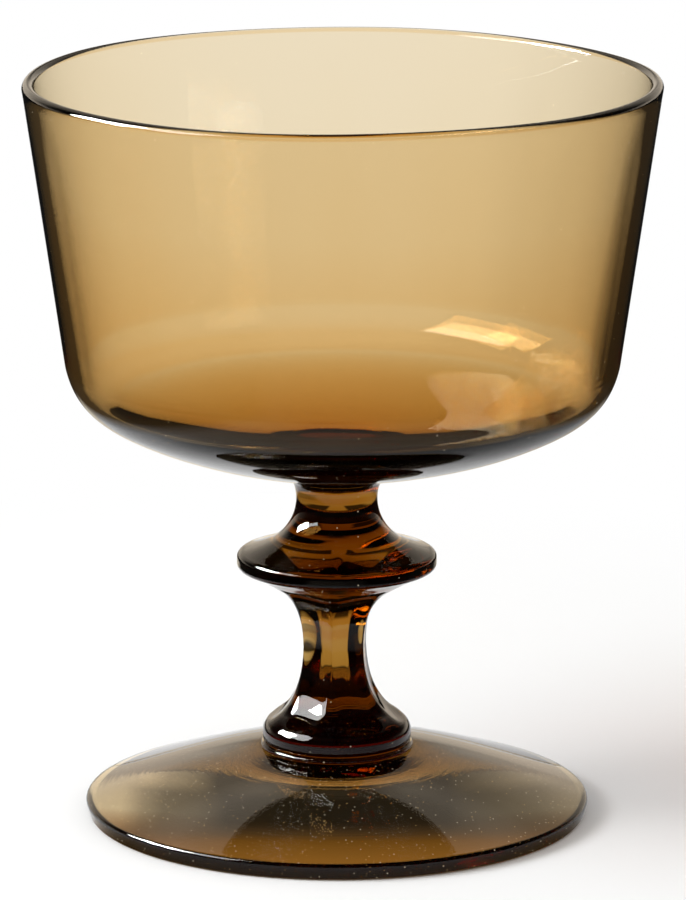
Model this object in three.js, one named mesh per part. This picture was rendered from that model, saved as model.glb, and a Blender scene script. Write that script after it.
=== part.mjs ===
// Sherbet glass of smoky amber glass, standing on its foot, millimetres, +Z up along its axis.
// Three gathers of glass are fused hot, one on top of the other: a spun foot, a pressed stem with a fluted
// column and a flat disc knop, and a blown bowl. Each fused joint is a flat face shared by two pieces.
import * as THREE from 'three';

// Foot: a low dome with a dished underside, standing on a narrow flat ring at its edge
const FOOT_RADIUS = 36.8;
const FOOT_EDGE = 2.6;
const FOOT_EDGE_LEAN = 0.6;
const FOOT_EDGE_ROUND = 0.7;
const FOOT_RING_WIDTH = 1.2;
const FOOT_RISE = 7.1;
const FOOT_EDGE_SLOPE = 18.5;
const FOOT_COLLAR_SLOPE = 6;
const FOOT_CENTRE_THICKNESS = 3.5;
const FOOT_DISH_FLAT = 7.5;
const FOOT_DISH_SLOPE = 18.3;

// Stem: collar, fluted column, disc knop and neck in one pressed piece
const STEM_LENGTH = 40.3;
const COLLAR_WELD_RADIUS = 10.5;
const BEAD_RADIUS = 11.1;
const BEAD_HEIGHT = 0.9;
const GROOVE_RADIUS = 10.6;
const SHOULDER_RADIUS = 10.87;
const SHOULDER_HEIGHT = 2.4;
const SHOULDER_TOP_RADIUS = 8.7;
const SHOULDER_TOP_HEIGHT = 5.3;
const COLUMN_WAIST_RADIUS = 5.2;
const COLUMN_WAIST_HEIGHT = 15.3;
const COLUMN_TOP_RADIUS = 8.4;
const COLUMN_TOP_HEIGHT = 23.9;
const FLUTE_COUNT = 6;
const FLUTE_DEPTH = 0.95;
const FLUTE_TURN = 5;
const FLUTE_FOOT_HEIGHT = 4.4;
const FLUTE_FOOT_ARC = 6.0;
const FLUTE_HEAD_HEIGHT = 24.4;
const FLUTE_HEAD_ARC = 5.0;
const FLUTE_END_CURVE = 2.0;
const DISC_RADIUS = 14.55;
const DISC_HEIGHT = 27.1;
const DISC_EDGE = 2.4;
const DISC_EDGE_ROUND = 0.8;
const DISC_UNDERCUT = 1.4;
const DISC_CROWN = 1.6;
const NECK_FLARE_RADIUS = 9.4;
const NECK_WAIST_RADIUS = 5.93;
const NECK_WAIST_BELOW_BOWL = 3.0;

// Bowl: a shallow round bottom, heavy in the middle, a rounded corner and a straight flaring wall
const BOWL_HEIGHT = 58.7;
const BOWL_WELD_RADIUS = 7.0;
const BOWL_FILLET = 3.4;
const BOWL_FILLET_HEIGHT = 0.9;
const BOWL_BOTTOM_ARC = 75;
const BOWL_BOTTOM_RADIUS = 34;
const BOWL_CORNER_RADIUS = 40.2;
const BOWL_CORNER_HEIGHT = 17.5;
const RIM_RADIUS = 46;
const RIM_WALL = 1.8;
const CORNER_WALL = 2.9;
const BOTTOM_WALL = 7.3;
const INSIDE_BOTTOM_ARC = 168;

// Heights of the two fused joints and of the rim
const FOOT_WELD_Z = FOOT_EDGE + FOOT_RISE;
const BOWL_WELD_Z = FOOT_WELD_Z + STEM_LENGTH;
const RIM_Z = BOWL_WELD_Z + BOWL_HEIGHT;

const AROUND = 60;

// Where the line through p along d crosses the line through q along e
function crossing(p, d, q, e) {
  const t = ((q.x - p.x) * e.y - (q.y - p.y) * e.x) / (d.x * e.y - d.y * e.x);
  return p.clone().addScaledVector(d, t);
}

// A closed turned solid: the outline runs from the axis to the axis, and stacked doubles are dropped
function turned(outline) {
  const points = outline.filter((p, i) => i === 0 || p.distanceTo(outline[i - 1]) > 0.01);
  const geometry = new THREE.LatheGeometry(points, AROUND);
  geometry.rotateX(Math.PI / 2);
  return geometry;
}

function glass(name, geometry, colour) {
  const material = new THREE.MeshStandardMaterial({ color: colour, roughness: 0.04, metalness: 0 });
  material.transparent = true;
  material.opacity = 0.6;
  geometry.computeVertexNormals();
  const mesh = new THREE.Mesh(geometry, material);
  mesh.name = name;
  return mesh;
}

function footGeometry() {
  const slope = (angle) => Math.tan(THREE.MathUtils.degToRad(angle));
  const ringOuter = FOOT_RADIUS - FOOT_EDGE_LEAN;
  const ringInner = ringOuter - FOOT_RING_WIDTH;
  const dishTop = FOOT_WELD_Z - FOOT_CENTRE_THICKNESS;
  const dishReach = (ringInner - FOOT_DISH_FLAT) / 3;
  const domeEdge = FOOT_RADIUS - FOOT_EDGE_ROUND;
  const domeReach = (domeEdge - COLLAR_WELD_RADIUS) / 3;
  const path = new THREE.Path();
  path.moveTo(0, dishTop);
  path.lineTo(FOOT_DISH_FLAT, dishTop);
  path.bezierCurveTo(
    FOOT_DISH_FLAT + dishReach, dishTop,
    ringInner - dishReach, dishReach * slope(FOOT_DISH_SLOPE),
    ringInner, 0);
  path.lineTo(ringOuter, 0);
  path.lineTo(FOOT_RADIUS, FOOT_EDGE - FOOT_EDGE_ROUND);
  path.quadraticCurveTo(FOOT_RADIUS, FOOT_EDGE, domeEdge, FOOT_EDGE);
  path.bezierCurveTo(
    domeEdge - domeReach, FOOT_EDGE + domeReach * slope(FOOT_EDGE_SLOPE),
    COLLAR_WELD_RADIUS + domeReach, FOOT_WELD_Z - domeReach * slope(FOOT_COLLAR_SLOPE),
    COLLAR_WELD_RADIUS, FOOT_WELD_Z);
  path.lineTo(0, FOOT_WELD_Z);
  return turned(path.getPoints(6));
}

// The stem as turned, before the flutes: the ridges between flutes keep this outline
function stemOutline() {
  const up = (h) => FOOT_WELD_Z + h;
  const discTop = DISC_HEIGHT + DISC_EDGE;
  const neckWaist = STEM_LENGTH - NECK_WAIST_BELOW_BOWL;
  const neckFlare = discTop + DISC_CROWN;
  const flareIn = NECK_FLARE_RADIUS - NECK_WAIST_RADIUS;
  const columnIn = SHOULDER_TOP_RADIUS - COLUMN_WAIST_RADIUS;
  const columnUp = COLUMN_WAIST_HEIGHT - SHOULDER_TOP_HEIGHT;
  const shoulderUp = SHOULDER_TOP_HEIGHT - SHOULDER_HEIGHT;
  const path = new THREE.Path();
  path.moveTo(0, up(0));
  path.lineTo(COLLAR_WELD_RADIUS, up(0));
  path.quadraticCurveTo(BEAD_RADIUS, up(0), BEAD_RADIUS, up(BEAD_HEIGHT / 2));
  path.quadraticCurveTo(BEAD_RADIUS, up(BEAD_HEIGHT), GROOVE_RADIUS, up(BEAD_HEIGHT));
  path.quadraticCurveTo(
    SHOULDER_RADIUS, up(BEAD_HEIGHT), SHOULDER_RADIUS, up((BEAD_HEIGHT + SHOULDER_HEIGHT) / 2));
  path.lineTo(SHOULDER_RADIUS, up(SHOULDER_HEIGHT));
  path.bezierCurveTo(
    SHOULDER_RADIUS, up(SHOULDER_HEIGHT + 0.4 * shoulderUp),
    SHOULDER_TOP_RADIUS + 0.35 * columnIn, up(SHOULDER_TOP_HEIGHT - 0.3 * shoulderUp),
    SHOULDER_TOP_RADIUS, up(SHOULDER_TOP_HEIGHT));
  path.bezierCurveTo(
    COLUMN_WAIST_RADIUS + 0.5 * columnIn, up(SHOULDER_TOP_HEIGHT + 0.1 * columnUp),
    COLUMN_WAIST_RADIUS + 0.03 * columnIn, up(SHOULDER_TOP_HEIGHT + 0.44 * columnUp),
    COLUMN_WAIST_RADIUS, up(COLUMN_WAIST_HEIGHT));
  path.bezierCurveTo(
    COLUMN_WAIST_RADIUS, up((COLUMN_WAIST_HEIGHT + COLUMN_TOP_HEIGHT) / 2),
    COLUMN_WAIST_RADIUS + 1.1, up(COLUMN_TOP_HEIGHT - 1.2),
    COLUMN_TOP_RADIUS, up(COLUMN_TOP_HEIGHT));
  path.quadraticCurveTo(
    (COLUMN_TOP_RADIUS + DISC_RADIUS) / 2, up(DISC_HEIGHT - DISC_UNDERCUT),
    DISC_RADIUS - DISC_EDGE_ROUND, up(DISC_HEIGHT));
  path.quadraticCurveTo(DISC_RADIUS, up(DISC_HEIGHT), DISC_RADIUS, up(DISC_HEIGHT + DISC_EDGE_ROUND));
  path.lineTo(DISC_RADIUS, up(discTop - DISC_EDGE_ROUND));
  path.quadraticCurveTo(DISC_RADIUS, up(discTop), DISC_RADIUS - DISC_EDGE_ROUND, up(discTop));
  path.lineTo(NECK_FLARE_RADIUS, up(neckFlare));
  path.bezierCurveTo(
    NECK_WAIST_RADIUS + 0.45 * flareIn, up(neckFlare + 0.35 * flareIn),
    NECK_WAIST_RADIUS, up((neckFlare + neckWaist) / 2 + 0.1 * flareIn),
    NECK_WAIST_RADIUS, up(neckWaist));
  path.quadraticCurveTo(
    NECK_WAIST_RADIUS, up(STEM_LENGTH - 0.2 * NECK_WAIST_BELOW_BOWL), BOWL_WELD_RADIUS, up(STEM_LENGTH));
  path.lineTo(0, up(STEM_LENGTH));
  return path.getPoints(5);
}

// Radius of the flute's floor: straight along the column, sweeping out in an arc at both ends.
// side runs from 0 in the middle of a flute to 1 at its ridges, so the ends are round scallops.
function fluteFloor(height, side) {
  const floor = COLUMN_WAIST_RADIUS - FLUTE_DEPTH;
  const shift = FLUTE_END_CURVE * side * side;
  const low = FLUTE_FOOT_HEIGHT + FLUTE_FOOT_ARC + shift - height;
  const high = height - (FLUTE_HEAD_HEIGHT - FLUTE_HEAD_ARC - shift);
  const arc = low > high ? FLUTE_FOOT_ARC : FLUTE_HEAD_ARC;
  const past = Math.max(low, high, 0);
  return past < arc ? floor + arc - Math.sqrt(arc * arc - past * past) : Infinity;
}

function stemGeometry() {
  const geometry = turned(stemOutline());
  const position = geometry.attributes.position;
  const pitch = (2 * Math.PI) / FLUTE_COUNT;
  const turn = THREE.MathUtils.degToRad(FLUTE_TURN);
  const p = new THREE.Vector3();
  for (let i = 0; i < position.count; i += 1) {
    p.fromBufferAttribute(position, i);
    const radius = Math.hypot(p.x, p.y);
    const height = p.z - FOOT_WELD_Z;
    const turns = (Math.atan2(p.x, -p.y) + turn) / pitch;
    const side = 1 - 2 * Math.abs(turns - Math.round(turns));
    const floor = fluteFloor(height, side);
    if (radius > floor) {
      const scale = (floor + (radius - floor) * side * side) / radius;
      position.setXY(i, p.x * scale, p.y * scale);
    }
  }
  return geometry;
}

function bowlGeometry() {
  const cornerZ = BOWL_WELD_Z + BOWL_CORNER_HEIGHT;
  const capZ = BOWL_WELD_Z + BOWL_FILLET_HEIGHT;
  const capCentre = capZ + BOWL_BOTTOM_ARC;
  const wall = new THREE.Vector2(RIM_RADIUS - BOWL_CORNER_RADIUS, RIM_Z - cornerZ);
  const innerWall = new THREE.Vector2(wall.x + CORNER_WALL - RIM_WALL, wall.y);
  const insideCentre = capZ + BOTTOM_WALL + INSIDE_BOTTOM_ARC;
  const onCap = (x, arc, centre) => new THREE.Vector2(x, centre - Math.sqrt(arc * arc - x * x));
  const alongCap = (p, centre) => new THREE.Vector2(centre - p.y, p.x);
  const filletEnd = onCap(BOWL_WELD_RADIUS + BOWL_FILLET, BOWL_BOTTOM_ARC, capCentre);
  const capEnd = onCap(BOWL_BOTTOM_RADIUS, BOWL_BOTTOM_ARC, capCentre);
  const corner = new THREE.Vector2(BOWL_CORNER_RADIUS, cornerZ);
  const outerTurn = crossing(capEnd, alongCap(capEnd, capCentre), corner, wall);
  const innerCapEnd = onCap(BOWL_BOTTOM_RADIUS - CORNER_WALL / 2, INSIDE_BOTTOM_ARC, insideCentre);
  const innerCorner = new THREE.Vector2(BOWL_CORNER_RADIUS - CORNER_WALL, cornerZ);
  const innerTurn = crossing(innerCapEnd, alongCap(innerCapEnd, insideCentre), innerCorner, innerWall);
  const lip = RIM_WALL / 2;
  const path = new THREE.Path();
  path.moveTo(0, BOWL_WELD_Z);
  path.lineTo(BOWL_WELD_RADIUS, BOWL_WELD_Z);
  path.quadraticCurveTo(BOWL_WELD_RADIUS + 1, capZ, filletEnd.x, filletEnd.y);
  path.absarc(0, capCentre, BOWL_BOTTOM_ARC,
    -Math.acos(filletEnd.x / BOWL_BOTTOM_ARC), -Math.acos(capEnd.x / BOWL_BOTTOM_ARC), false);
  path.quadraticCurveTo(outerTurn.x, outerTurn.y, corner.x, corner.y);
  path.lineTo(RIM_RADIUS, RIM_Z - lip);
  path.absarc(RIM_RADIUS - lip, RIM_Z - lip, lip, 0, Math.PI, false);
  path.lineTo(innerCorner.x, innerCorner.y);
  path.quadraticCurveTo(innerTurn.x, innerTurn.y, innerCapEnd.x, innerCapEnd.y);
  path.absarc(0, insideCentre, INSIDE_BOTTOM_ARC,
    -Math.acos(innerCapEnd.x / INSIDE_BOTTOM_ARC), -Math.PI / 2, true);
  return turned(path.getPoints(5).map((p) => (p.x < 1e-6 ? new THREE.Vector2(0, p.y) : p)));
}

const group = new THREE.Group();
group.name = 'sherbet_glass';
group.add(glass('foot', footGeometry(), 0x9c6a26));
group.add(glass('stem', stemGeometry(), 0x7a4d16));
group.add(glass('bowl', bowlGeometry(), 0xc8a468));

export default group;
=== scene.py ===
# %% [markdown]
# # A sherbet glass in smoky amber glass
# The real glass is three gathers fused while hot: a spun foot, a pressed stem and a blown bowl. All three
# are round, so each can be drawn as half of its outline and spun about the upright axis, as on a lathe.
# The CAD frame gives their sizes and places, and this lesson draws the same pieces finer, in clear glass.

import math

import bpy
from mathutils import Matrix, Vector


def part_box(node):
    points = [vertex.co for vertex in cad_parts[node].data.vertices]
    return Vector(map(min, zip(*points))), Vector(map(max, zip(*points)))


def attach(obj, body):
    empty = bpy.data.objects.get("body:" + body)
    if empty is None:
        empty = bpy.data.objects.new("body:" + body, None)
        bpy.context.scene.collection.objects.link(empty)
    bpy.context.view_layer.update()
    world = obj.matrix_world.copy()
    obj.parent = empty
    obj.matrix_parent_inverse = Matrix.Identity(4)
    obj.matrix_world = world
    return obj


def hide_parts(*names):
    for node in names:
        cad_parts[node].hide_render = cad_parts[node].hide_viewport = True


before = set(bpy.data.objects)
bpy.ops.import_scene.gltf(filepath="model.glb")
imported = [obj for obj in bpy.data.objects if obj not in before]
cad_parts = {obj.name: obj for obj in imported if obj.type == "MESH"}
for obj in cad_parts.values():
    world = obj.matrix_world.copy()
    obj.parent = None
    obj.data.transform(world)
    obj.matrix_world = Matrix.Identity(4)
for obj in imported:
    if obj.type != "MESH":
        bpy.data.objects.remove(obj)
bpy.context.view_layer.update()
MM = 0.001


def box_in_mm(node):
    """Low and high corner of a CAD piece, in millimetres."""
    return [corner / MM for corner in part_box(node)]


foot_high = box_in_mm("foot")[1]
stem_low, stem_high = box_in_mm("stem")
bowl_low, bowl_high = box_in_mm("bowl")
print("heights in mm: foot", foot_high.z, "stem", stem_high.z, "bowl", bowl_high.z)

# %% [markdown]
# ## Drawing an outline
# A turned piece has an outline made of straight runs, tight bends and long sweeps. Short helper functions
# give the points of each kind of curve, as radius and height in millimetres. Closely spaced points matter
# here, because light bends at every facet of clear glass and a coarse curve would show as bands.

# %% Curves for the outlines
def bend(start, corner, end, steps):
    """Points along a bend that leaves start towards corner and reaches end from corner."""
    points = []
    for i in range(1, steps + 1):
        t = i / steps
        a, b, c = (1 - t) ** 2, 2 * t * (1 - t), t * t
        points.append(tuple(a * start[k] + b * corner[k] + c * end[k] for k in (0, 1)))
    return points


def sweep(start, leave, arrive, end, steps):
    """Points along a long sweep from start to end, steered by the two points between."""
    points = []
    for i in range(1, steps + 1):
        t = i / steps
        a, b, c, d = (1 - t) ** 3, 3 * t * (1 - t) ** 2, 3 * t * t * (1 - t), t ** 3
        points.append(tuple(a * start[k] + b * leave[k] + c * arrive[k] + d * end[k] for k in (0, 1)))
    return points


def run(start, end, steps):
    """Points along a straight run."""
    return [tuple(start[k] + (end[k] - start[k]) * i / steps for k in (0, 1)) for i in range(1, steps + 1)]


print("a run of four steps:", run((0, 0), (8, 4), 4))

# %% [markdown]
# ## From outline to solid
# A plane is added and merged to a single vertex, which is moved to the outline's first point. Each
# further point is an extrude of that vertex, as when drawing by hand with the E key. Spin then turns the
# line all the way round. The spin's last copy lies on its first, and the points on the axis lie on each
# other, so doubles are merged before the faces are turned outwards.

# %% Draw and spin
TURNS = 240


def draw_and_spin(name, outline):
    """A new object from an outline of radius and height in millimetres."""
    bpy.ops.object.select_all(action="DESELECT")
    bpy.ops.mesh.primitive_plane_add(size=MM)
    piece = bpy.context.object
    piece.name = name
    piece.data.name = name
    bpy.ops.object.mode_set(mode="EDIT")
    bpy.ops.mesh.select_all(action="SELECT")
    bpy.ops.mesh.merge(type="CENTER")
    bpy.ops.mesh.select_all(action="SELECT")
    here = Vector((outline[0][0] * MM, 0, outline[0][1] * MM))
    bpy.ops.transform.translate(value=here)
    for radius, height in outline[1:]:
        there = Vector((radius * MM, 0, height * MM))
        bpy.ops.mesh.extrude_vertices_move(TRANSFORM_OT_translate={"value": there - here})
        here = there
    bpy.ops.mesh.select_all(action="SELECT")
    bpy.ops.mesh.spin(steps=TURNS, angle=2 * math.pi, center=(0, 0, 0), axis=(0, 0, 1))
    bpy.ops.mesh.select_all(action="SELECT")
    bpy.ops.mesh.remove_doubles(threshold=0.001 * MM)
    bpy.ops.mesh.normals_make_consistent(inside=False)
    bpy.ops.object.mode_set(mode="OBJECT")
    print(name, "spun from", len(outline), "points to", len(piece.data.polygons), "faces")
    return piece


print("outlines will be spun in", TURNS, "steps")

# %% [markdown]
# ## The foot
# The foot was spun from a blob of hot glass: a low dome, steeper towards its edge, with a dished underside,
# so that it stands on a narrow ring. A cone primitive would give neither the dome nor the dish, so the
# outline is drawn. Its top meets the stem in a flat weld, a hair below the stem's own weld face.

# %% Foot
SEAM = 0.01
foot_radius = foot_high.x
foot_top = foot_high.z - SEAM
collar_weld = 10.5
dish_top = 6.2
foot_outline = [(0, dish_top)]
foot_outline += run((0, dish_top), (7.5, dish_top), 6)
foot_outline += sweep((7.5, dish_top), (16.67, dish_top), (25.83, 3.03), (35.0, 0), 60)
foot_outline += run((35.0, 0), (35.9, 0), 2)
foot_outline += bend((35.9, 0), (36.3, 0), (36.4, 0.5), 8)
foot_outline += run((36.4, 0.5), (foot_radius, 1.9), 4)
foot_outline += bend((foot_radius, 1.9), (foot_radius, 2.45), (36.1, 2.62), 12)
foot_outline += sweep((36.1, 2.62), (27.57, 5.47), (19.0, 8.8), (collar_weld, foot_top), 60)
foot_outline += run((collar_weld, foot_top), (0, foot_top), 5)
foot = draw_and_spin("glass_foot", foot_outline)

# %% [markdown]
# ## The stem
# Neck, disc, column and collar were pressed in one mould, so they are one piece. The outline runs from the
# weld on the foot to the weld under the bowl: a bead, a groove, a round shoulder, the waisted column, the
# disc with its soft edges, and the neck that flares out onto the disc.

# %% Stem outline
stem_base = stem_low.z + SEAM
stem_top = stem_high.z - SEAM
disc_radius = stem_high.x
bowl_weld = 7.0
stem_outline = [(0, stem_base)]
stem_outline += run((0, stem_base), (collar_weld, stem_base), 5)
stem_outline += bend((collar_weld, stem_base), (11.1, stem_base), (11.1, 10.1), 10)
stem_outline += bend((11.1, 10.1), (11.1, 10.55), (10.58, 10.62), 10)
stem_outline += bend((10.58, 10.62), (10.87, 10.68), (10.87, 11.4), 10)
stem_outline += run((10.87, 11.4), (10.87, 12.1), 4)
stem_outline += sweep((10.87, 12.1), (10.87, 13.3), (9.9, 14.2), (8.72, 15.03), 36)
stem_outline += sweep((8.72, 15.03), (6.95, 16.1), (5.3, 19.5), (5.2, 25.0), 60)
stem_outline += sweep((5.2, 25.0), (5.2, 29.2), (6.2, 32.2), (8.4, 33.6), 44)
stem_outline += sweep((8.4, 33.6), (10.6, 35.0), (12.6, 36.1), (13.8, 36.55), 16)
stem_outline += bend((13.8, 36.55), (disc_radius, 36.8), (disc_radius, 37.4), 10)
stem_outline += run((disc_radius, 37.4), (disc_radius, 38.2), 4)
stem_outline += bend((disc_radius, 38.2), (disc_radius, 39.0), (13.6, 39.15), 14)
stem_outline += sweep((13.6, 39.15), (12.3, 39.5), (10.8, 40.1), (9.4, 40.85), 20)
stem_outline += sweep((9.4, 40.85), (7.5, 42.1), (5.93, 44.3), (5.93, 47.0), 48)
stem_outline += bend((5.93, 47.0), (5.93, 49.4), (bowl_weld, stem_top), 24)
stem_outline += run((bowl_weld, stem_top), (0, stem_top), 4)
stem = draw_and_spin("glass_stem", stem_outline)

# %% [markdown]
# ## Flutes in the column
# Six hollows run up the column, end in round scallops on the collar's shoulder and die out under the disc.
# In a mould they are part of the cavity. A boolean with six cutters would leave ragged faces in clear
# glass, so every vertex of the column will be pushed in towards the flute's floor instead. First comes the
# line of that floor, from the shoulder up to the disc, and the distance across a hollow at any angle.

# %% Form of a flute
FLUTES = 6
FLUTE_HOLLOW = 0.032
flute_line = [(10.2, 13.8)]
flute_line += sweep((10.2, 13.8), (7.0, 14.8), (4.45, 18.6), (4.3, 25.0), 60)
flute_line += sweep((4.3, 25.0), (4.3, 29.5), (5.4, 32.6), (8.8, 34.6), 60)


def flute_floor(height):
    """Distance of a flute's middle line from the axis at a height, or None beyond the flute's ends."""
    for (r0, z0), (r1, z1) in zip(flute_line, flute_line[1:]):
        if z0 <= height <= z1:
            return r0 + (r1 - r0) * (height - z0) / (z1 - z0)
    return None


def hollow(floor, away):
    """Distance from the axis to a flute's hollow at an angle away from its middle line."""
    across, along = math.sin(away), math.cos(away)
    curve = FLUTE_HOLLOW * across * across
    if curve > 1e-6:
        return (along - math.sqrt(along * along - 4 * curve * floor)) / (2 * curve)
    return floor / along


waist = flute_floor(25)
print("a flute's middle is", waist, "mm from the axis, its edges", hollow(waist, math.pi / FLUTES))

# %% [markdown]
# ## Pressing the flutes
# Each vertex that lies outside the hollow moves in to it. The ridges between flutes stay on the turned
# outline, slightly softened, as fire-polished glass is. The column of the real glass also stands a hair to
# the left of its foot, and a soft step moves this one over without a kink.

# %% Press the flutes
FLUTE_TURN = math.radians(4.5)
RIDGE_SOFT = 0.3
COLUMN_LEAN = -0.3


def ease(value, low, high):
    """A soft step from 0 at low to 1 at high."""
    t = min(max((value - low) / (high - low), 0), 1)
    return t * t * (3 - 2 * t)


def swell(value, start, full, fading, gone):
    """A soft rise from start to full and a soft fall from fading to gone."""
    return ease(value, start, full) * ease(-value, -gone, -fading)


pressed = 0
for vertex in stem.data.vertices:
    radius = math.hypot(vertex.co.x, vertex.co.y) / MM
    height = vertex.co.z / MM
    floor = flute_floor(height)
    if floor is not None and radius > 1:
        turns = (math.atan2(vertex.co.x, -vertex.co.y) + FLUTE_TURN) * FLUTES / (2 * math.pi) - 0.5
        cut = hollow(floor, (turns - round(turns)) * 2 * math.pi / FLUTES)
        soft = (radius + cut - math.sqrt((radius - cut) ** 2 + RIDGE_SOFT ** 2)) / 2
        if soft < radius - 0.001:
            vertex.co.x *= soft / radius
            vertex.co.y *= soft / radius
            pressed += 1
    vertex.co.x += COLUMN_LEAN * MM * swell(height, start=13, full=20, fading=30, gone=37)
print("flutes moved", pressed, "vertices")

# %% [markdown]
# ## The bowl
# The bowl was blown: a shallow round bottom that is heavy in the middle, a rounded corner and a wall that
# flares straight to the rim, thicker low down than at the top. The outline goes up the outside, over the
# rounded rim and down the inside, so the wall's thickness is drawn and not left to a modifier.

# %% Bowl
RIM_STEPS = 18
bowl_base = bowl_low.z + SEAM
rim_radius = bowl_high.x
rim_wall = 1.8
rim_middle = (rim_radius - rim_wall / 2, bowl_high.z - rim_wall / 2)
bowl_outline = [(0, bowl_base)]
bowl_outline += run((0, bowl_base), (bowl_weld, bowl_base), 4)
bowl_outline += sweep((bowl_weld, bowl_base), (7.4, 50.5), (8.4, 51.1), (10.4, 51.5), 14)
bowl_outline += sweep((10.4, 51.5), (18.0, 52.9), (27.5, 55.4), (34.0, 59.0), 50)
bowl_outline += sweep((34.0, 59.0), (37.4, 60.9), (39.3, 63.2), (40.15, 67.2), 40)
bowl_outline += run((40.15, 67.2), (rim_radius, rim_middle[1]), 40)
for step in range(1, RIM_STEPS + 1):
    turn = math.pi * step / RIM_STEPS
    bowl_outline.append((rim_middle[0] + rim_wall / 2 * math.cos(turn),
                         rim_middle[1] + rim_wall / 2 * math.sin(turn)))
bowl_outline += run((rim_radius - rim_wall, rim_middle[1]), (37.9, 67.5), 40)
bowl_outline += sweep((37.9, 67.5), (37.3, 63.9), (35.9, 62.0), (32.5, 61.4), 50)
bowl_outline += sweep((32.5, 61.4), (22.0, 59.4), (11.0, 58.2), (0, 58.2), 60)
bowl = draw_and_spin("glass_bowl", bowl_outline)

# %% [markdown]
# ## Panels blown into the bowl
# The bowl was blown in a ribbed mould first, which left sixteen faint panels inside its wall, seen as soft
# upright lines. The inner wall gets them as a shallow wave with a crease between panels. The rim is not
# quite level, as a hand-finished rim isn't, and the bowl sits a little to the right of the stem.

# %% Panels, rim and seat of the bowl
PANELS = 16
PANEL_DEPTH = 0.05
PANEL_TURN = math.radians(1)
RIM_WAVE = 0.12
BOWL_OFFSET = 0.85
inside_bottom = 62.5
wall_middle = (38.7, 67.5)
wall_slope = (rim_middle[0] - wall_middle[0]) / (rim_middle[1] - wall_middle[1])
for vertex in bowl.data.vertices:
    radius = math.hypot(vertex.co.x, vertex.co.y) / MM
    height = vertex.co.z / MM
    turn = math.atan2(vertex.co.x, -vertex.co.y)
    if height > inside_bottom and radius < wall_middle[0] + (height - wall_middle[1]) * wall_slope:
        depth = PANEL_DEPTH * swell(height, start=63, full=70, fading=98, gone=106)
        out = depth * (abs(math.sin((turn - PANEL_TURN) * PANELS / 2)) - 0.6)
        vertex.co.x *= 1 + out / radius
        vertex.co.y *= 1 + out / radius
    wave = math.sin(2 * turn + 0.6) + 0.6 * math.sin(5 * turn)
    vertex.co.z += RIM_WAVE * MM * ease(height, 90, 108) * wave
    vertex.co.x += BOWL_OFFSET * MM * ease(height, 50.5, 56.5)
print("bowl has", PANELS, "panels inside its wall")

# %% [markdown]
# ## Smooth shading and welds
# Smooth shading keeps the bends free of facets, and smoothing by angle leaves the rim of each weld face
# crisp. The fused faces aren't surfaces on the real glass. A face attribute marks them, so that the glass
# can be told not to bend light there.

# %% Finish the meshes
CRISP_ANGLE = math.radians(35)
LEVEL = 0.99
SAME_HEIGHT = 0.002


def finish_piece(piece, welds):
    """Smooth shading for a piece, and a mark on its level faces at the heights of the welds."""
    bpy.ops.object.select_all(action="DESELECT")
    piece.select_set(True)
    bpy.context.view_layer.objects.active = piece
    bpy.ops.object.shade_smooth_by_angle(angle=CRISP_ANGLE)
    mark = piece.data.attributes.new("weld", "FLOAT", "FACE")
    count = 0
    for face in piece.data.polygons:
        at_weld = any(abs(face.center.z / MM - z) < SAME_HEIGHT for z in welds)
        if abs(face.normal.z) > LEVEL and at_weld:
            mark.data[face.index].value = 1
            count += 1
    print(piece.name, "has", count, "weld faces")


finish_piece(foot, [foot_top])
finish_piece(stem, [stem_base, stem_top])
finish_piece(bowl, [bowl_base])

# %% [markdown]
# ## Dust with a painted glow
# No used glass is perfectly clean. Fine specks lie on it, most of them on the foot. Each speck gets a faint
# emission glow, a painted light that stands in for the room's light it would scatter. Voronoi cells scatter
# the specks evenly over any shape, and each cell's random colour decides whether it has one. It is a node
# group, so that any glass can use it with its own share of dusty cells.

# %% Node group for specks with a painted glow
DUST_PAINTED_GLOW = (0.5, 0.43, 0.31, 1)


def new_effect(name, output, kind):
    """An empty node group that turns a place on the glass into one output."""
    group = bpy.data.node_groups.new(name, "ShaderNodeTree")
    group.interface.new_socket("Place", in_out="INPUT", socket_type="NodeSocketVector")
    group.interface.new_socket(output, in_out="OUTPUT", socket_type=kind)
    return group, group.nodes.new("NodeGroupInput"), group.nodes.new("NodeGroupOutput")


def dust_and_painted_glow_effect(cells, size):
    """Specks with a painted glow, on a grid of cells to the metre and of a size in cells; Share says how
    many cells have one.
    """
    group, place, result = new_effect("fine_dust_painted_glow", "Glow", "NodeSocketColor")
    group.interface.new_socket("Share", in_out="INPUT", socket_type="NodeSocketFloat")
    spots = group.nodes.new("ShaderNodeTexVoronoi")
    spots.inputs["Scale"].default_value = cells
    group.links.new(place.outputs["Place"], spots.inputs["Vector"])
    chance = group.nodes.new("ShaderNodeSeparateColor")
    group.links.new(spots.outputs["Color"], chance.inputs[0])
    picked = group.nodes.new("ShaderNodeMath")
    picked.operation = "LESS_THAN"
    group.links.new(chance.outputs[0], picked.inputs[0])
    group.links.new(place.outputs["Share"], picked.inputs[1])
    spot = group.nodes.new("ShaderNodeMapRange")
    spot.inputs["From Min"].default_value = size
    spot.inputs["From Max"].default_value = size * 0.4
    group.links.new(spots.outputs["Distance"], spot.inputs["Value"])
    glow = group.nodes.new("ShaderNodeMath")
    glow.operation = "MULTIPLY"
    group.links.new(picked.outputs[0], glow.inputs[0])
    group.links.new(spot.outputs["Result"], glow.inputs[1])
    # Painted glow: the specks shine by emission, standing in for the room light they would scatter.
    tint = group.nodes.new("ShaderNodeMix")
    tint.data_type = "RGBA"
    tint.inputs["A"].default_value = (0, 0, 0, 1)
    tint.inputs["B"].default_value = DUST_PAINTED_GLOW
    group.links.new(glow.outputs[0], tint.inputs["Factor"])
    group.links.new(tint.outputs["Result"], result.inputs["Glow"])
    return group


dust_glow_group = dust_and_painted_glow_effect(cells=1000, size=0.12)
print("effect:", dust_glow_group.name)

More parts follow.
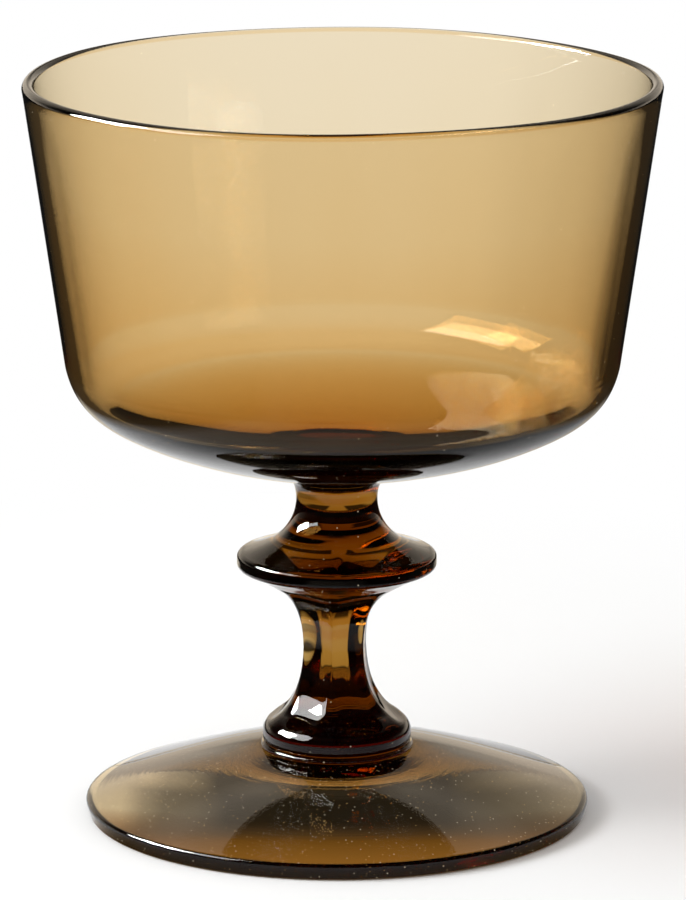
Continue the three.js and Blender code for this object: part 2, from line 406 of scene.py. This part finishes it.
# %% [markdown]
# ## Tool marks
# The surface keeps faint marks of how each piece was made: fine rings on the spun foot, a slightly uneven
# skin on the pressed stem, and long upright waves in the blown bowl. They are heights for a bump, two
# hundredths of a millimetre deep at most, so a node group with noise gives them. Noise along the distance
# from the axis makes rings, and noise that is stretched upwards makes waves.

# %% Node groups for tool marks
def marks_effect(name, stretch):
    """Waves with a number to the metre in each direction."""
    group, place, result = new_effect(name, "Height", "NodeSocketFloat")
    scaled = group.nodes.new("ShaderNodeVectorMath")
    scaled.operation = "MULTIPLY"
    scaled.inputs[1].default_value = stretch
    group.links.new(place.outputs["Place"], scaled.inputs[0])
    waves = group.nodes.new("ShaderNodeTexNoise")
    waves.inputs["Scale"].default_value = 1
    waves.inputs["Detail"].default_value = 1
    group.links.new(scaled.outputs[0], waves.inputs["Vector"])
    group.links.new(waves.outputs[0], result.inputs["Height"])
    return group


def rings_effect(lines):
    """Fine rings round the axis, with a number of lines to the metre."""
    group, place, result = new_effect("spun_rings", "Height", "NodeSocketFloat")
    flat = group.nodes.new("ShaderNodeVectorMath")
    flat.operation = "MULTIPLY"
    flat.inputs[1].default_value = (1, 1, 0)
    group.links.new(place.outputs["Place"], flat.inputs[0])
    out = group.nodes.new("ShaderNodeVectorMath")
    out.operation = "LENGTH"
    group.links.new(flat.outputs[0], out.inputs[0])
    rings = group.nodes.new("ShaderNodeTexNoise")
    rings.noise_dimensions = "1D"
    rings.inputs["Scale"].default_value = lines
    rings.inputs["Detail"].default_value = 2
    group.links.new(out.outputs["Value"], rings.inputs["W"])
    group.links.new(rings.outputs[0], result.inputs["Height"])
    return group


foot_marks = rings_effect(1500)
stem_marks = marks_effect("pressed_skin", (250, 250, 120))
bowl_marks = marks_effect("blown_waves", (70, 70, 14))
print("effects:", foot_marks.name, stem_marks.name, bowl_marks.name)

# %% [markdown]
# ## Amber glass
# Tinted glass gets its colour from its depth: a thin wall is pale honey and a thick stem nearly black. So
# the surface is clear, and Volume Absorption inside it takes out more blue than red for every millimetre.
# At the welds the index of refraction falls to that of air, so light runs straight on from piece to piece.
# For shadow rays the glass is a plain tinted filter, which gives a soft warm shadow without waiting for
# caustics to clear.

# %% Skin of the glass and its welds
GLASS_INDEX = 1.5
WELD_INDEX = 1.001


def add_skin(nodes, links, surface, marks, mark_depth, dusty):
    """Dusty specks with a painted glow, and tool marks, on a surface shader."""
    place = nodes.new("ShaderNodeTexCoord")
    specks = nodes.new("ShaderNodeGroup")
    specks.node_tree = dust_glow_group
    specks.inputs["Share"].default_value = dusty
    links.new(place.outputs["Object"], specks.inputs["Place"])
    # The specks' painted glow goes into the emission colour.
    links.new(specks.outputs["Glow"], surface.inputs["Emission Color"])
    skin = nodes.new("ShaderNodeGroup")
    skin.node_tree = marks
    links.new(place.outputs["Object"], skin.inputs["Place"])
    bump = nodes.new("ShaderNodeBump")
    bump.inputs["Strength"].default_value = 1.0
    bump.inputs["Distance"].default_value = mark_depth * MM
    links.new(skin.outputs["Height"], bump.inputs["Height"])
    links.new(bump.outputs[0], surface.inputs["Normal"])


def open_welds(nodes, links, surface):
    """An index of refraction that is the glass's own everywhere but on the weld faces."""
    weld = nodes.new("ShaderNodeAttribute")
    weld.attribute_name = "weld"
    index = nodes.new("ShaderNodeMath")
    index.operation = "MULTIPLY_ADD"
    index.inputs[1].default_value = WELD_INDEX - GLASS_INDEX
    index.inputs[2].default_value = GLASS_INDEX
    links.new(weld.outputs["Fac"], index.inputs[0])
    links.new(index.outputs[0], surface.inputs["IOR"])


print("index of refraction", GLASS_INDEX, "and", WELD_INDEX, "at the welds")

# %% [markdown]
# ## Shadow and depth
# The material puts the skin on a clear Principled surface, swaps that for the filter when a shadow ray asks,
# and fills the inside with the tint. Density says how strongly the tint acts along each metre of glass, so
# it is in the hundreds for glass that is a few millimetres thick.

# %% Glass material
def amber_glass(name, density, tint, marks, mark_depth, dusty, shadow):
    """A tinted clear glass with its own marks, dusty specks with a painted glow, and shadow."""
    material = bpy.data.materials.new(name)
    material.use_nodes = True
    nodes, links = material.node_tree.nodes, material.node_tree.links
    nodes.clear()
    output = nodes.new("ShaderNodeOutputMaterial")
    surface = nodes.new("ShaderNodeBsdfPrincipled")
    surface.inputs["Base Color"].default_value = (1, 1, 1, 1)
    surface.inputs["Roughness"].default_value = 0.0
    surface.inputs["Metallic"].default_value = 0.0
    surface.inputs["Transmission Weight"].default_value = 1.0
    # Strength 1 for the emission that shows the specks' painted glow.
    surface.inputs["Emission Strength"].default_value = 1.0
    add_skin(nodes, links, surface, marks, mark_depth, dusty)
    open_welds(nodes, links, surface)
    path = nodes.new("ShaderNodeLightPath")
    shade = nodes.new("ShaderNodeBsdfTransparent")
    shade.inputs["Color"].default_value = (*shadow, 1)
    mix = nodes.new("ShaderNodeMixShader")
    links.new(path.outputs["Is Shadow Ray"], mix.inputs[0])
    links.new(surface.outputs[0], mix.inputs[1])
    links.new(shade.outputs[0], mix.inputs[2])
    depth = nodes.new("ShaderNodeVolumeAbsorption")
    depth.inputs["Color"].default_value = (*tint, 1)
    depth.inputs["Density"].default_value = density
    links.new(mix.outputs[0], output.inputs["Surface"])
    links.new(depth.outputs[0], output.inputs["Volume"])
    return material


# %% [markdown]
# ## Dressing the three pieces
# The stem is a smokier batch than the foot and the bowl. The last values of each glass say how deep its
# tool marks are, how dusty it is, that is how many specks carry the painted glow, and what a shadow ray
# keeps at each surface: thick glass throws a darker shadow than the thin wall of the bowl. Each piece then
# takes the place of its CAD node.

# %% Dress the pieces
AMBER = (0.87, 0.66, 0.2)
SMOKY_AMBER = (0.775, 0.615, 0.2)


def dress(piece, node, material):
    """Give a piece its glass and let it stand for its CAD node."""
    piece.data.materials.clear()
    piece.data.materials.append(material)
    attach(piece, "root")
    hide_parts(node)
    print(piece.name, "rides on root and stands for", node)


foot_glass = amber_glass("foot_glass", density=370, tint=AMBER, marks=foot_marks, mark_depth=0.004,
                         dusty=0.7, shadow=(0.42, 0.37, 0.3))
stem_glass = amber_glass("stem_glass", density=480, tint=SMOKY_AMBER, marks=stem_marks, mark_depth=0.006,
                         dusty=0.15, shadow=(0.55, 0.45, 0.3))
bowl_glass = amber_glass("bowl_glass", density=398, tint=AMBER, marks=bowl_marks, mark_depth=0.02,
                         dusty=0.04, shadow=(0.91, 0.82, 0.64))
dress(foot, "foot", foot_glass)
dress(stem, "stem", stem_glass)
dress(bowl, "bowl", bowl_glass)

# %% [markdown]
# ## What the glass sees
# Clear glass is drawn by what stands around it. If everything were white, its edges would vanish, so a
# photographer keeps dark areas beside the white ones. Here the room shows the glass its own brightness by
# place, and the table shows it painted light and shade by place. These helpers build such brightness from a
# few stops, join two values, and pick one of two by a switch.

# %% Brightness by stops
def level_ramp(tree, value, low, high, stops):
    """Brightness by a value between low and high, from a short list of stops."""
    span = tree.nodes.new("ShaderNodeMapRange")
    span.inputs["From Min"].default_value = low
    span.inputs["From Max"].default_value = high
    tree.links.new(value, span.inputs["Value"])
    ramp = tree.nodes.new("ShaderNodeValToRGB")
    while len(ramp.color_ramp.elements) < len(stops):
        ramp.color_ramp.elements.new(0.5)
    for element, (at, level) in zip(ramp.color_ramp.elements, stops):
        element.position = (at - low) / (high - low)
        element.color = (level, level, level, 1)
    tree.links.new(span.outputs["Result"], ramp.inputs["Fac"])
    return ramp.outputs["Color"]


def combine(tree, operation, first, second):
    """Two values joined by a Math operation; the second is a number or a socket."""
    node = tree.nodes.new("ShaderNodeMath")
    node.operation = operation
    tree.links.new(first, node.inputs[0])
    if isinstance(second, (int, float)):
        node.inputs[1].default_value = second
    else:
        tree.links.new(second, node.inputs[1])
    return node.outputs[0]


def choose(tree, switch, otherwise, when_on):
    """One of two by a switch from 0 to 1; each is a number, a colour or a socket, and both are alike."""
    node = tree.nodes.new("ShaderNodeMix")
    if isinstance(otherwise, tuple) or isinstance(when_on, tuple):
        node.data_type = "RGBA"
    tree.links.new(switch, node.inputs["Factor"])
    for name, value in (("A", otherwise), ("B", when_on)):
        if isinstance(value, (int, float)):
            node.inputs[name].default_value = value
        elif isinstance(value, tuple):
            node.inputs[name].default_value = (*value, 1)
        else:
            tree.links.new(value, node.inputs[name])
    return node.outputs["Result"]


print("helpers ready: level_ramp, combine, choose")

# %% [markdown]
# ## Light that rattles inside the glass
# Some light is mirrored inside the glass before it gets out, and shows parts of the room that a real photo
# of such glass shows only dimly, because real glass isn't perfectly clear. Its path has both a mirrored and
# a transmitted bounce, which the Light Path node counts, so only a small share of it is kept.

# %% Share kept of rattling light
KEPT = 0.09
NO_BOUNCE = 0.5


def kept_share(tree, path):
    """The share that is kept of a ray's light: all of it, unless it was mirrored inside the glass."""
    inside = combine(tree, "MINIMUM", path.outputs["Glossy Depth"], path.outputs["Transmission Depth"])
    return choose(tree, combine(tree, "GREATER_THAN", inside, NO_BOUNCE), 1.0, KEPT)


print("share of rattling light kept:", KEPT)

# %% [markdown]
# ## Studio settings
# Standard view shows colours as they are written. Glass needs many bounces, because a ray crosses up to a
# dozen surfaces here, and caustics are off, because the tinted shadow stands in for them.

# %% Studio settings
scene = bpy.context.scene
scene.view_settings.view_transform = "Standard"
scene.cycles.max_bounces = 24
scene.cycles.transmission_bounces = 24
scene.cycles.glossy_bounces = 16
scene.cycles.caustics_refractive = False
scene.cycles.caustics_reflective = False
print("bounces:", scene.cycles.max_bounces)

# %% [markdown]
# ## The room
# The world gives plain soft light to everything matt, and plain white to the camera. Glass sees a darker
# room. A low pale sheet lies along the horizon behind, and above it the room is bright to the left and
# right and dim in the middle. The foot and the disc mirror that as a creamy veil at their sides.

# %% Room
MATT_LIGHT = 0.64
PLAIN_WHITE = 1.0
WHITE = (1, 1, 1)
CREAM = (1, 0.87, 0.7)
world = bpy.data.worlds.new("studio")
scene.world = world
world.use_nodes = True
tree = world.node_tree
tree.nodes.clear()
output = tree.nodes.new("ShaderNodeOutputWorld")
light = tree.nodes.new("ShaderNodeBackground")
where = tree.nodes.new("ShaderNodeTexCoord")
split = tree.nodes.new("ShaderNodeSeparateXYZ")
tree.links.new(where.outputs["Generated"], split.inputs[0])
path = tree.nodes.new("ShaderNodeLightPath")
behind = level_ramp(tree, split.outputs["Y"], -1, 1, [(-1, 0.03), (0, 0.05), (0.5, 0.3), (0.75, 1.0)])
low_sheet = level_ramp(tree, split.outputs["Z"], 0, 1,
                       [(0, 1.0), (0.11, 1.0), (0.15, 0.75), (0.19, 0.35), (0.25, 0.02)])
by_height = level_ramp(tree, split.outputs["Z"], 0, 1,
                       [(0, 1.0), (0.2, 1.0), (0.27, 0.8), (0.33, 0.66), (0.48, 0.44), (0.55, 0.5),
                        (0.65, 0.95), (0.78, 0.95), (0.9, 0.05)])
by_side = level_ramp(tree, split.outputs["X"], -1, 1,
                     [(-0.7, 0.1), (-0.45, 1.0), (-0.14, 1.0), (-0.1, 0.7), (-0.07, 0.36), (-0.045, 0.17),
                      (0.045, 0.15), (0.07, 0.3), (0.1, 0.55), (0.14, 0.8), (0.45, 0.8), (0.7, 0.1)])
room = combine(tree, "MAXIMUM", low_sheet, combine(tree, "MULTIPLY", by_side, by_height))
room = combine(tree, "MULTIPLY", behind, room)
room = combine(tree, "MULTIPLY", room, kept_share(tree, path))
glassy = combine(tree, "MAXIMUM", path.outputs["Is Glossy Ray"], path.outputs["Is Transmission Ray"])
room = choose(tree, path.outputs["Is Camera Ray"], choose(tree, glassy, MATT_LIGHT, room), PLAIN_WHITE)
tree.links.new(room, light.inputs["Strength"])
tree.links.new(choose(tree, glassy, WHITE, CREAM), light.inputs["Color"])
tree.links.new(light.outputs[0], output.inputs["Surface"])
print("room set, light on matt things", MATT_LIGHT)

# %% [markdown]
# ## The table
# The table is a wide round sheet of white paper, a hair below the foot. For rays from the glass the paper
# glows, with painted light and shade that depend on where on the paper a ray ends, so the material starts
# with that place: to the right, to the back, the turn about the glass and the distance from it.

# %% Table and places on it
TABLE_RADIUS = 6
TABLE_HEIGHT = -0.0001
bpy.ops.object.select_all(action="DESELECT")
bpy.ops.mesh.primitive_circle_add(vertices=96, radius=TABLE_RADIUS, fill_type="NGON",
                                  location=(0, 0, TABLE_HEIGHT))
table = bpy.context.object
table.name = "table"
bpy.ops.object.transform_apply(location=True)
paper = bpy.data.materials.new("white_paper_with_painted_light")
paper.use_nodes = True
tree = paper.node_tree
tree.nodes.clear()
place = tree.nodes.new("ShaderNodeTexCoord").outputs["Object"]


def distance_from(centre):
    """Distance on the paper from a centre."""
    node = tree.nodes.new("ShaderNodeVectorMath")
    node.operation = "DISTANCE"
    node.inputs[1].default_value = centre
    tree.links.new(place, node.inputs[0])
    return node.outputs["Value"]


split = tree.nodes.new("ShaderNodeSeparateXYZ")
tree.links.new(place, split.inputs[0])
to_right, to_back = split.outputs["X"], split.outputs["Y"]
turn_about = combine(tree, "ARCTAN2", to_right, to_back)
distance = distance_from((0, 0, 0))
path = tree.nodes.new("ShaderNodeLightPath")
mirrored = path.outputs["Is Reflection Ray"]
seen = path.outputs["Is Camera Ray"]
table.data.materials.append(paper)
print("table set, radius", TABLE_RADIUS, "m")

# %% [markdown]
# ## Paper farther off, with painted shade
# The bowl shows the paper far behind the glass. It glows white there and greyer towards the right, a painted
# shade that gives the bowl its darker right side. What the outer faces mirror is a painted reflection and
# narrower: white paper only straight behind and dark beside it, so that the glass keeps dark edges.

# %% Paper farther off
DARK = 0.012


def by_turn(reach, stops):
    """Brightness by the turn about the glass, in degrees from straight behind."""
    in_radians = [(math.radians(turn), level) for turn, level in stops]
    return level_ramp(tree, turn_about, math.radians(-reach), math.radians(reach), in_radians)


far_paper_with_painted_shade = by_turn(180, [(-70, 0.85), (-50, 0.9), (-40, 1.0), (4, 1.0), (8, 0.9), (18, 0.85), (24, 0.6),
                          (30, 0.5), (50, 0.5), (65, 0.85)])
far_painted_reflection = by_turn(45, [(-15, DARK), (-10, 1.0), (10, 1.0), (15, DARK)])
far_level = choose(tree, mirrored, far_paper_with_painted_shade, far_painted_reflection)
print("far paper set, white from 40 degrees on the left to 4 on the right")

# %% [markdown]
# ## Paper near the glass
# The bowl's bottom and the column show the paper within a hand's breadth. It glows a little greyer to the
# right, a painted shade, and the bowl's underside mirrors it as a painted reflection, narrower and with
# painted shade in front, where the camera stands.

# %% Paper near the glass
near_painted_shade_right = level_ramp(tree, to_right, -0.2, 0.2, [(0.0, 1.0), (0.05, 0.88), (0.1, 0.75)])
near_painted_shade_front = level_ramp(tree, to_back, -0.2, 0.05, [(-0.2, 0.05), (-0.12, 0.25), (-0.03, 0.5), (0.02, 1.0)])
near_painted_reflection_strip = level_ramp(tree, to_right, -0.2, 0.2,
                        [(-0.095, 0.03), (-0.07, 1.0), (0.0, 1.0), (0.035, 0.7), (0.07, 0.5), (0.095, 0.03)])
near_level = choose(tree, mirrored, near_painted_shade_right, combine(tree, "MULTIPLY", near_painted_shade_front, near_painted_reflection_strip))
print("near paper set, white to the left and greyer to the right")

# %% [markdown]
# ## Paper just past the foot
# Rays that leave the foot close to the collar end in two patches past the foot, to the left and right. There
# the paper's glow is dark, a painted shade, so that no bright ring shows round the collar. Rays through two
# pieces of glass find white paper there, because the bowl and the column need it. Such a ray has crossed at
# least four surfaces.

# %% Paper just past the foot
THROUGH_TWO_PIECES = 3.5
deep = combine(tree, "GREATER_THAN", path.outputs["Transmission Depth"], THROUGH_TWO_PIECES)
# Painted shade: dark spots on the paper to the left and right, past the foot.
patches = level_ramp(tree, combine(tree, "ABSOLUTE", to_right, 0), 0, 0.1,
                     [(0.012, 1.0), (0.016, 0.1), (0.05, 0.1), (0.07, 1.0)])
past_foot = level_ramp(tree, distance, 0, 0.2, [(0.058, 0.0), (0.066, 1.0), (0.115, 1.0), (0.13, 0.0)])
one_piece = combine(tree, "SUBTRACT", path.outputs["Is Transmission Ray"], deep)
patches = choose(tree, combine(tree, "MULTIPLY", past_foot, one_piece), 1.0, patches)
near_level = combine(tree, "MULTIPLY", near_level, patches)
farther = level_ramp(tree, distance, 0, 0.4, [(0.19, 0.0), (0.22, 1.0)])
open_paper = choose(tree, farther, near_level, far_level)
print("near paper runs over into far paper at 0.2 m")

# %% [markdown]
# ## Painted light and shade under the foot
# Little light gets under the foot. It comes in from the left, less from the right, and at the front it has
# crossed the foot's amber rim. Three short ramps paint that light and shade into the paper's glow: across
# the middle, across the back and along the front. The column looks down through the foot as well and finds
# the paper painted bright.

# %% Painted light and shade under the foot
PAINTED_LIGHT_UNDER_COLUMN = 0.8
# Painted light and shade under the middle of the foot: bright at the left edge, dark under the collar.
under = level_ramp(tree, to_right, -0.04, 0.04,
                   [(-0.036, 0.9), (-0.031, 0.8), (-0.028, 0.38), (-0.025, 0.19), (-0.02, 0.11),
                    (-0.016, 0.02), (0.016, 0.02), (0.022, 0.09), (0.029, 0.17), (0.036, 0.33)])
painted_light_under_back = level_ramp(tree, to_right, -0.04, 0.04,
                        [(-0.036, 1.0), (-0.028, 1.0), (-0.025, 0.5), (-0.02, 0.22), (-0.0175, 0.05),
                         (0.016, 0.03), (0.018, 0.08), (0.023, 0.18), (0.03, 0.4), (0.036, 0.6)])
painted_light_under_front = level_ramp(tree, to_back, -0.04, 0,
                         [(-0.031, 0.3), (-0.0265, 0.25), (-0.022, 0.2), (-0.016, 0.1), (-0.009, 0.03)])
back_half = level_ramp(tree, to_back, -0.04, 0.04, [(0.008, 0.0), (0.017, 1.0)])
front_half = level_ramp(tree, to_back, -0.04, 0.04, [(-0.02, 1.0), (-0.005, 0.0)])
under = choose(tree, back_half, under, painted_light_under_back)
under = choose(tree, front_half, under, painted_light_under_front)
under = choose(tree, deep, under, PAINTED_LIGHT_UNDER_COLUMN)
outside = level_ramp(tree, distance_from((0, 0.003, 0)), 0, 0.1, [(0.038, 0.0), (0.042, 1.0)])
paper_painted_level = combine(tree, "MULTIPLY", choose(tree, outside, under, open_paper), kept_share(tree, path))
print("paper under the foot set")

# %% [markdown]
# ## Painted amber light on the paper
# Light that has crossed the bowl is painted on the table as a pale amber ring, and light that has crossed
# the foot's rim is painted deep amber under its front. Both lie on the paper only for what is seen through
# the glass or mirrored in it.

# %% Painted amber light on the paper
PAINTED_RING_AMBER = (0.96, 0.86, 0.7)
PAINTED_RIM_AMBER = (1, 0.55, 0.14)
off_painted_ring = level_ramp(tree, distance, 0, 0.4, [(0.125, 1.0), (0.15, 0.0), (0.29, 0.0), (0.4, 1.0)])
painted_light_tint = choose(tree, off_painted_ring, PAINTED_RING_AMBER, WHITE)
painted_light_tint = choose(tree, combine(tree, "SUBTRACT", front_half, outside), painted_light_tint, PAINTED_RIM_AMBER)
glow = tree.nodes.new("ShaderNodeEmission")
tree.links.new(choose(tree, seen, paper_painted_level, PLAIN_WHITE), glow.inputs["Strength"])
tree.links.new(choose(tree, seen, painted_light_tint, WHITE), glow.inputs["Color"])
print("amber on the paper:", PAINTED_RING_AMBER, PAINTED_RIM_AMBER)

# %% [markdown]
# ## Matt paper and its shadow
# For the camera the paper near the glass is matt, so it keeps the shadow, and farther off it fades to plain
# white. Every other ray finds the glow from the cells above.

# %% Matt paper
PAPER = (0.95, 0.945, 0.935, 1)
FADE = (0.09, 0.2)
NO_MATT = (-0.002, -0.001)
matt = tree.nodes.new("ShaderNodeBsdfDiffuse")
matt.inputs["Color"].default_value = PAPER
fade = tree.nodes.new("ShaderNodeMapRange")
fade.interpolation_type = "SMOOTHSTEP"
tree.links.new(choose(tree, seen, NO_MATT[0], FADE[0]), fade.inputs["From Min"])
tree.links.new(choose(tree, seen, NO_MATT[1], FADE[1]), fade.inputs["From Max"])
tree.links.new(distance, fade.inputs["Value"])
mix = tree.nodes.new("ShaderNodeMixShader")
tree.links.new(fade.outputs["Result"], mix.inputs[0])
tree.links.new(matt.outputs[0], mix.inputs[1])
tree.links.new(glow.outputs[0], mix.inputs[2])
output = tree.nodes.new("ShaderNodeOutputMaterial")
tree.links.new(mix.outputs[0], output.inputs["Surface"])
print("matt paper fades to white between", FADE[0], "and", FADE[1], "m")

# %% [markdown]
# ## Lamps
# One softbox stands to the left at half height. Its light on the table gives the soft shadow to the right,
# and its picture in the glass gives the white gleams. The two jobs need different strengths, so two lamps
# share the place: the key lights what is matt, and the gleam is seen only by the glass.

# %% Lamps
LAMP_AIM = Vector((0, 0, 0.05))


def soft_lamp(name, azimuth, elevation, away, width, height, power):
    """An area lamp aimed at the glass; azimuth 0 is at the camera's side, negative to the left."""
    a, e = math.radians(azimuth), math.radians(elevation)
    data = bpy.data.lights.new(name, "AREA")
    data.shape = "RECTANGLE"
    data.size, data.size_y, data.energy = width, height, power
    lamp = bpy.data.objects.new(name, data)
    scene.collection.objects.link(lamp)
    out = Vector((math.sin(a) * math.cos(e), -math.cos(a) * math.cos(e), math.sin(e)))
    lamp.location = LAMP_AIM + out * away
    lamp.rotation_euler = (-out).to_track_quat("-Z", "Y").to_euler()
    return lamp


key = soft_lamp("key", azimuth=-75, elevation=36, away=0.7, width=0.5, height=0.35, power=5.0)
gleam = soft_lamp("gleam", azimuth=-97, elevation=29, away=0.72, width=0.38, height=0.28, power=27.0)
gleam.visible_diffuse = False
gleam.data.use_nodes = True
tree = gleam.data.node_tree
path = tree.nodes.new("ShaderNodeLightPath")
tree.links.new(kept_share(tree, path), tree.nodes["Emission"].inputs["Strength"])
print("lamps placed:", key.name, gleam.name)

# %% [markdown]
# ## Camera
# The photograph was taken from a little above with a long lens. The camera's place and lens were fitted to
# the rim, the foot and the axis of the glass.

# %% Camera
LOOK_DOWN = 13.089
lens = bpy.data.cameras.new("photo_view")
lens.sensor_width = 36
lens.lens = 259.3
camera = bpy.data.objects.new("photo_view", lens)
scene.collection.objects.link(camera)
camera.location = (0.0009, -0.9161, 0.2671)
camera.rotation_euler = (math.radians(90 - LOOK_DOWN), 0, 0)
scene.camera = camera
print("camera", round(camera.location.length, 3), "m from the foot's centre")
